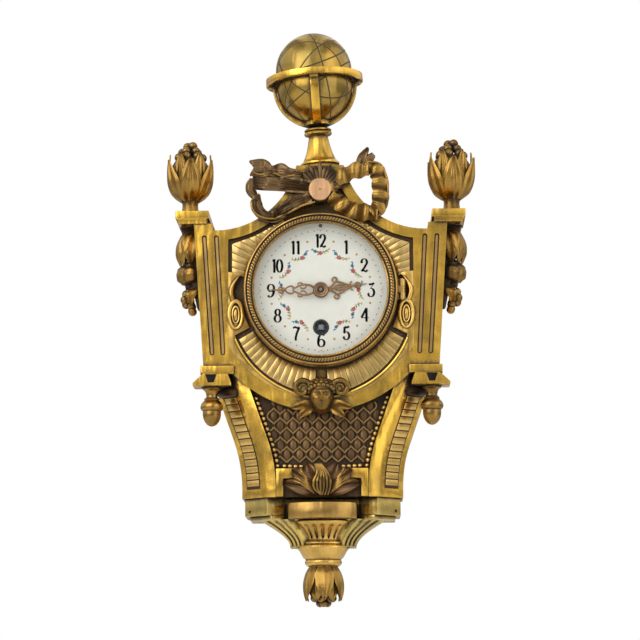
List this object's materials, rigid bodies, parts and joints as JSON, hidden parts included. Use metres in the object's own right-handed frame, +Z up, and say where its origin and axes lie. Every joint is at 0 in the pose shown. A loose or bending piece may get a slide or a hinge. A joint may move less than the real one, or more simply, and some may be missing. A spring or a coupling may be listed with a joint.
{
  "type": "cartel clock",
  "caption": "Gilt brass wall clock with a hinged round bezel, enamel dial, globe, flower finials and consoles, driven by a spring-wound pendulum movement.",
  "frame": {"origin": "centre of the hanging eye, in the plane of the wall", "axes": "+Z up, +Y from the clock into the wall, +X to the viewer's right"},
  "size_m": [0.1902, 0.064, 0.3495],
  "materials": {
    "gilt_brass": "polished gilt with brown patina in the hollows",
    "patinated_brass": "cast gilt with dark brown patina",
    "dark_ground": "dark brown patina",
    "copper": "rose gilt",
    "movement_brass": "brushed",
    "steel": "polished",
    "enamel": "glossy white enamel with painted numerals",
    "blackened_brass": "blackened",
    "glass": "clear"
  },
  "bodies": {
    "case": {"upper_case": "gilt_brass", "waist_case": "gilt_brass", "console_left": "patinated_brass", "console_right": "patinated_brass", "lattice_panel": "dark_ground", "bead_edging": "gilt_brass", "leaf_spray": "patinated_brass", "horned_mask": "patinated_brass", "base_bracket": "gilt_brass", "fluted_cup": "gilt_brass", "drop_bud": "patinated_brass", "finial_left": "patinated_brass", "finial_right": "patinated_brass", "garland_left": "patinated_brass", "garland_right": "patinated_brass", "acorn_left": "gilt_brass", "acorn_right": "gilt_brass", "globe": "gilt_brass", "globe_cradle": "gilt_brass", "globe_stem": "gilt_brass", "ribbon_bow": "patinated_brass", "bow_boss": "copper", "side_rosettes": "patinated_brass", "hanging_plate": "movement_brass", "bezel_seat": "movement_brass", "seat_screws": "steel", "dial": "enamel", "winding_grommet": "blackened_brass", "front_plate": "movement_brass", "back_plate": "movement_brass", "plate_pillars": "movement_brass", "pallet_cock": "movement_brass", "click_spring": "steel"},
    "bezel_door": {"bezel_rim": "gilt_brass", "bezel_glass": "glass", "bezel_hinge_pin": "movement_brass"},
    "spring_barrel": {"barrel": "movement_brass", "mainspring": "steel"},
    "winding": {"winding_arbor": "steel", "ratchet_wheel": "steel"},
    "click_lever": {"click": "steel"},
    "intermediate": {"intermediate_wheel": "movement_brass", "intermediate_pinion": "steel"},
    "center": {"center_wheel": "movement_brass", "center_arbor": "steel", "cannon_pinion": "steel", "minute_hand": "copper", "hand_nut": "copper"},
    "third": {"third_wheel": "movement_brass", "third_pinion": "steel"},
    "escape": {"escape_wheel": "movement_brass", "escape_pinion": "steel"},
    "anchor": {"pallets": "steel"},
    "pendulum": {"suspension_spring": "steel", "pendulum_rod": "steel", "pendulum_bob": "movement_brass"},
    "minute_work": {"minute_wheel": "movement_brass"},
    "hour_work": {"hour_wheel": "movement_brass", "hour_hand": "copper"},
    "rate_setting": {"rate_arbor": "steel"}
  },
  "joints": [
    {"name": "bezel_hinge", "type": "hinge", "parent": "case", "child": "bezel_door", "pos_m": [0.0487, -0.0565, -0.06], "axis": [0, 0, 1], "range_deg": [0, 100]},
    {"name": "center_turn", "type": "hinge", "parent": "case", "child": "center", "pos_m": [0, -0.04, -0.06], "axis": [0, 1, 0], "continuous": true},
    {"name": "barrel_turn", "type": "hinge", "parent": "case", "child": "spring_barrel", "pos_m": [0, -0.04, -0.0824], "axis": [0, 1, 0], "continuous": true},
    {"name": "intermediate_turn", "type": "hinge", "parent": "case", "child": "intermediate", "pos_m": [0.01087, -0.04, -0.07124], "axis": [0, 1, 0], "continuous": true},
    {"name": "third_turn", "type": "hinge", "parent": "case", "child": "third", "pos_m": [-0.00965, -0.04, -0.04774], "axis": [0, 1, 0], "continuous": true},
    {"name": "escape_turn", "type": "hinge", "parent": "case", "child": "escape", "pos_m": [0, -0.04, -0.0406], "axis": [0, 1, 0], "continuous": true},
    {"name": "minute_work_turn", "type": "hinge", "parent": "case", "child": "minute_work", "pos_m": [-0.00707, -0.04, -0.05293], "axis": [0, 1, 0], "continuous": true},
    {"name": "hour_turn", "type": "hinge", "parent": "case", "child": "hour_work", "pos_m": [0, -0.04, -0.06], "axis": [0, 1, 0], "continuous": true},
    {"name": "pendulum_swing", "type": "hinge", "parent": "case", "child": "pendulum", "pos_m": [0, -0.04, -0.031], "axis": [0, 1, 0], "range_deg": [-3, 3]},
    {"name": "anchor_rock", "type": "hinge", "parent": "case", "child": "anchor", "pos_m": [0, -0.04, -0.031], "axis": [0, 1, 0], "range_deg": [-3, 3]},
    {"name": "winding_turn", "type": "hinge", "parent": "case", "child": "winding", "pos_m": [0, -0.04, -0.0824], "axis": [0, 1, 0], "continuous": true},
    {"name": "click_lift", "type": "hinge", "parent": "case", "child": "click_lever", "pos_m": [-0.00881, -0.04, -0.07501], "axis": [0, -1, 0], "range_deg": [0, 5], "stiffness_Nm_per_rad": 0.001, "springref_deg": -11.46},
    {"name": "rate_turn", "type": "hinge", "parent": "case", "child": "rate_setting", "pos_m": [0, -0.04, -0.0207], "axis": [0, 1, 0], "range_deg": [-180, 180]}
  ],
  "couplings": [
    {"joint": "barrel_turn", "follows": "center_turn", "ratio": 0.018519},
    {"joint": "intermediate_turn", "follows": "center_turn", "ratio": -0.13333},
    {"joint": "third_turn", "follows": "center_turn", "ratio": -12},
    {"joint": "escape_turn", "follows": "center_turn", "ratio": 132},
    {"joint": "minute_work_turn", "follows": "center_turn", "ratio": -0.33333},
    {"joint": "hour_turn", "follows": "center_turn", "ratio": 0.083333},
    {"joint": "anchor_rock", "follows": "pendulum_swing", "ratio": 1}
  ]
}
